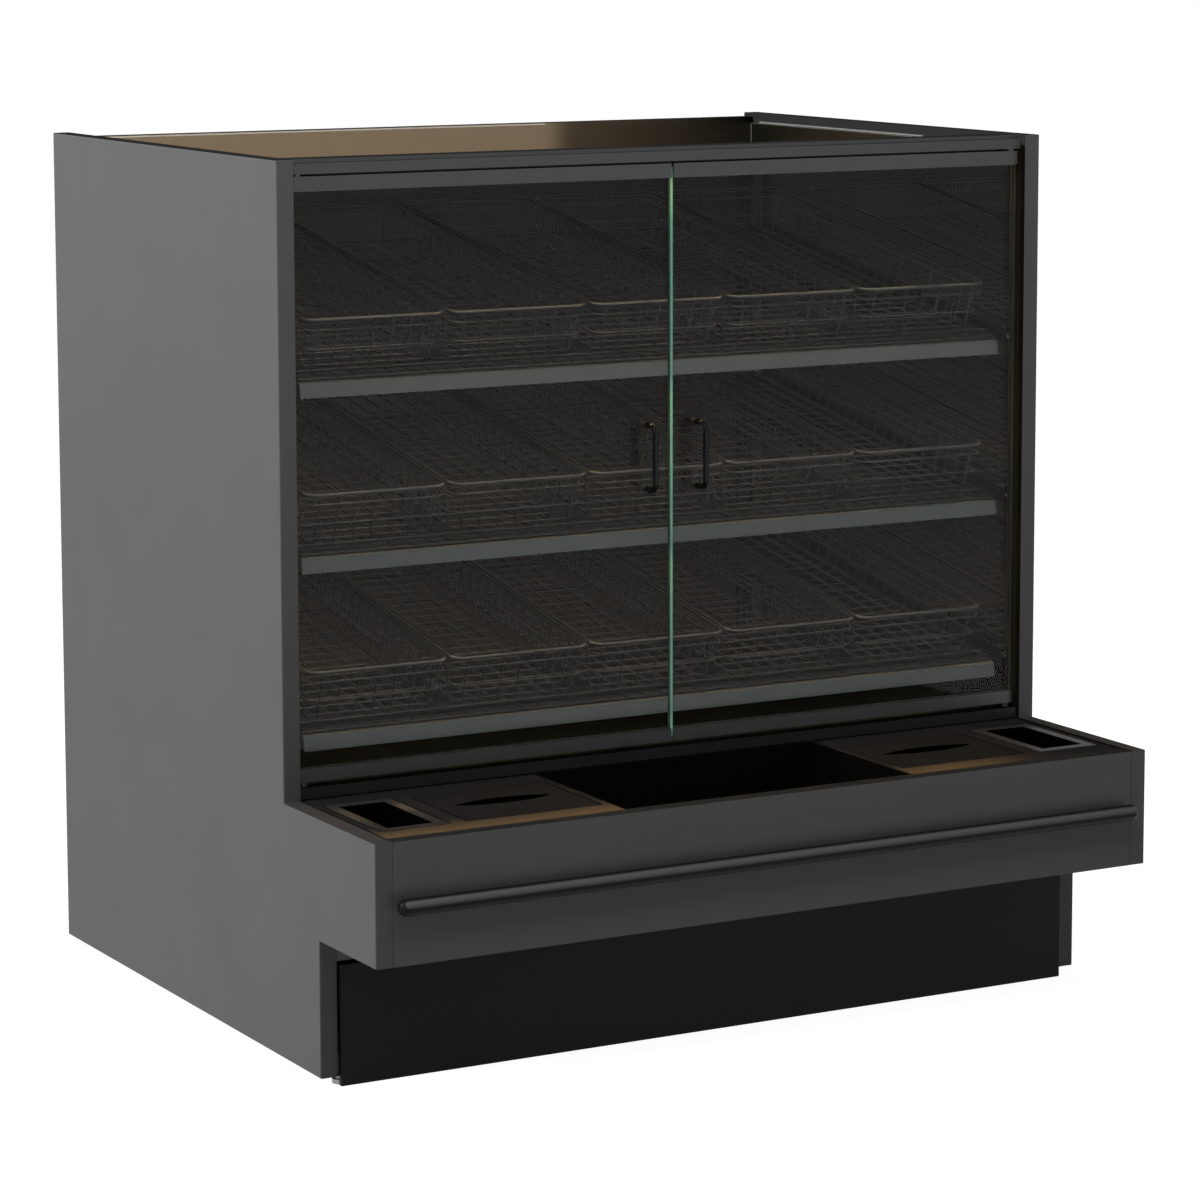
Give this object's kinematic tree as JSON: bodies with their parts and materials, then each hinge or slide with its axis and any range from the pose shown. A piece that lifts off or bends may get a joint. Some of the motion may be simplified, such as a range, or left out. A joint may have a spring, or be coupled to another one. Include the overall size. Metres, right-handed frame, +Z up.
{
  "type": "self-service bakery display case",
  "caption": "Floor-standing lit display case with swinging frameless glass doors over sloping wire racks of lift-out wire baskets, and a front ledge with bins, slotted lids and a bag well.",
  "frame": {"origin": "on the floor, under the centre of the case's overall outline", "axes": "+X to the customer's right, +Y from the doors to the back, +Z up"},
  "size_m": [1.2, 1.082, 1.21],
  "materials": {
    "grey_laminate": "satin laminate over particle board",
    "dark_laminate": "dark semi-gloss laminate over board",
    "kick_black": "black satin laminate",
    "deck_laminate": "dark semi-gloss laminate",
    "rear_laminate": "grey laminate, bronze sheet inside the top recess",
    "black_paint": "black powder coat",
    "black_wire": "black powder-coated wire",
    "door_glass": "clear tempered glass with polished edges",
    "mirror_glass": "silvered glass",
    "strip_plastic": "grey-green extruded plastic",
    "bumper_plastic": "black satin plastic",
    "black_plastic": "black moulded plastic",
    "lamp_metal": "black anodised",
    "lamp_plastic": "opal diffuser",
    "grey_plastic": "grey moulded plastic",
    "bare_steel": "zinc-plated steel"
  },
  "bodies": {
    "case": {"bag_well": "black_paint", "base_frame": "black_paint", "bumper_bar": "bumper_plastic", "bumper_standoffs": "black_paint", "display_floor": "dark_laminate", "door_pivots": "bare_steel", "door_sill": "dark_laminate", "header_rail": "grey_laminate", "kick_panel": "kick_black", "ledge_deck": "deck_laminate", "ledge_front_panel": "grey_laminate", "ledge_underside": "dark_laminate", "left_end_panel": "grey_laminate", "left_mirror": "mirror_glass", "leveling_feet": "bare_steel", "light_diffusers": "lamp_plastic", "light_driver": "grey_plastic", "light_housings": "lamp_metal", "light_switch_housing": "black_plastic", "panel_screws": "bare_steel", "power_inlet": "bare_steel", "rear_panel": "rear_laminate", "right_end_panel": "grey_laminate", "right_mirror": "mirror_glass", "shelf_brackets": "black_paint", "shelf_rack_bottom": "black_wire", "shelf_rack_middle": "black_wire", "shelf_rack_top": "black_wire", "shelf_standards": "black_paint", "shelf_strip_bottom": "strip_plastic", "shelf_strip_middle": "strip_plastic", "shelf_strip_top": "strip_plastic", "top_pan": "black_paint", "wiring_duct": "grey_plastic"},
    "left_door": {"left_door_glass": "door_glass", "left_door_rails": "black_paint", "left_door_pull": "black_paint"},
    "right_door": {"right_door_glass": "door_glass", "right_door_rails": "black_paint", "right_door_pull": "black_paint"},
    "left_bin_body": {"left_bin": "black_plastic"},
    "right_bin_body": {"right_bin": "black_plastic"},
    "left_lid_body": {"left_slot_lid": "black_plastic"},
    "right_lid_body": {"right_slot_lid": "black_plastic"},
    "switch_rocker": {"light_switch_rocker": "black_plastic"},
    "basket_top_1_body": {"basket_top_1": "black_wire"},
    "basket_top_2_body": {"basket_top_2": "black_wire"},
    "basket_top_3_body": {"basket_top_3": "black_wire"},
    "basket_top_4_body": {"basket_top_4": "black_wire"},
    "basket_top_5_body": {"basket_top_5": "black_wire"},
    "basket_middle_1_body": {"basket_middle_1": "black_wire"},
    "basket_middle_2_body": {"basket_middle_2": "black_wire"},
    "basket_middle_3_body": {"basket_middle_3": "black_wire"},
    "basket_middle_4_body": {"basket_middle_4": "black_wire"},
    "basket_middle_5_body": {"basket_middle_5": "black_wire"},
    "basket_bottom_1_body": {"basket_bottom_1": "black_wire"},
    "basket_bottom_2_body": {"basket_bottom_2": "black_wire"},
    "basket_bottom_3_body": {"basket_bottom_3": "black_wire"},
    "basket_bottom_4_body": {"basket_bottom_4": "black_wire"},
    "basket_bottom_5_body": {"basket_bottom_5": "black_wire"}
  },
  "joints": [
    {"name": "left_door_hinge", "type": "hinge", "parent": "case", "child": "left_door", "pos_m": [-0.563, -0.22, 0.383], "axis": [0, 0, -1], "range_deg": [0, 95]},
    {"name": "right_door_hinge", "type": "hinge", "parent": "case", "child": "right_door", "pos_m": [0.563, -0.22, 0.383], "axis": [0, 0, 1], "range_deg": [0, 95]},
    {"name": "left_bin_lift", "type": "slide", "parent": "case", "child": "left_bin_body", "axis": [0, 0, 1], "range_m": [0, 0.15]},
    {"name": "right_bin_lift", "type": "slide", "parent": "case", "child": "right_bin_body", "axis": [0, 0, 1], "range_m": [0, 0.15]},
    {"name": "left_lid_lift", "type": "slide", "parent": "case", "child": "left_lid_body", "axis": [0, 0, 1], "range_m": [0, 0.12]},
    {"name": "right_lid_lift", "type": "slide", "parent": "case", "child": "right_lid_body", "axis": [0, 0, 1], "range_m": [0, 0.12]},
    {"name": "switch_rock", "type": "hinge", "parent": "case", "child": "switch_rocker", "pos_m": [0.48, 0.531, 0.29], "axis": [-1, 0, 0], "range_deg": [0, 16]},
    {"name": "basket_top_1_lift", "type": "slide", "parent": "case", "child": "basket_top_1_body", "axis": [0, 0, 1], "range_m": [0, 0.03]},
    {"name": "basket_top_2_lift", "type": "slide", "parent": "case", "child": "basket_top_2_body", "axis": [0, 0, 1], "range_m": [0, 0.03]},
    {"name": "basket_top_3_lift", "type": "slide", "parent": "case", "child": "basket_top_3_body", "axis": [0, 0, 1], "range_m": [0, 0.03]},
    {"name": "basket_top_4_lift", "type": "slide", "parent": "case", "child": "basket_top_4_body", "axis": [0, 0, 1], "range_m": [0, 0.03]},
    {"name": "basket_top_5_lift", "type": "slide", "parent": "case", "child": "basket_top_5_body", "axis": [0, 0, 1], "range_m": [0, 0.03]},
    {"name": "basket_middle_1_lift", "type": "slide", "parent": "case", "child": "basket_middle_1_body", "axis": [0, 0, 1], "range_m": [0, 0.1]},
    {"name": "basket_middle_2_lift", "type": "slide", "parent": "case", "child": "basket_middle_2_body", "axis": [0, 0, 1], "range_m": [0, 0.1]},
    {"name": "basket_middle_3_lift", "type": "slide", "parent": "case", "child": "basket_middle_3_body", "axis": [0, 0, 1], "range_m": [0, 0.1]},
    {"name": "basket_middle_4_lift", "type": "slide", "parent": "case", "child": "basket_middle_4_body", "axis": [0, 0, 1], "range_m": [0, 0.1]},
    {"name": "basket_middle_5_lift", "type": "slide", "parent": "case", "child": "basket_middle_5_body", "axis": [0, 0, 1], "range_m": [0, 0.1]},
    {"name": "basket_bottom_1_lift", "type": "slide", "parent": "case", "child": "basket_bottom_1_body", "axis": [0, 0, 1], "range_m": [0, 0.1]},
    {"name": "basket_bottom_2_lift", "type": "slide", "parent": "case", "child": "basket_bottom_2_body", "axis": [0, 0, 1], "range_m": [0, 0.1]},
    {"name": "basket_bottom_3_lift", "type": "slide", "parent": "case", "child": "basket_bottom_3_body", "axis": [0, 0, 1], "range_m": [0, 0.1]},
    {"name": "basket_bottom_4_lift", "type": "slide", "parent": "case", "child": "basket_bottom_4_body", "axis": [0, 0, 1], "range_m": [0, 0.1]},
    {"name": "basket_bottom_5_lift", "type": "slide", "parent": "case", "child": "basket_bottom_5_body", "axis": [0, 0, 1], "range_m": [0, 0.1]}
  ]
}
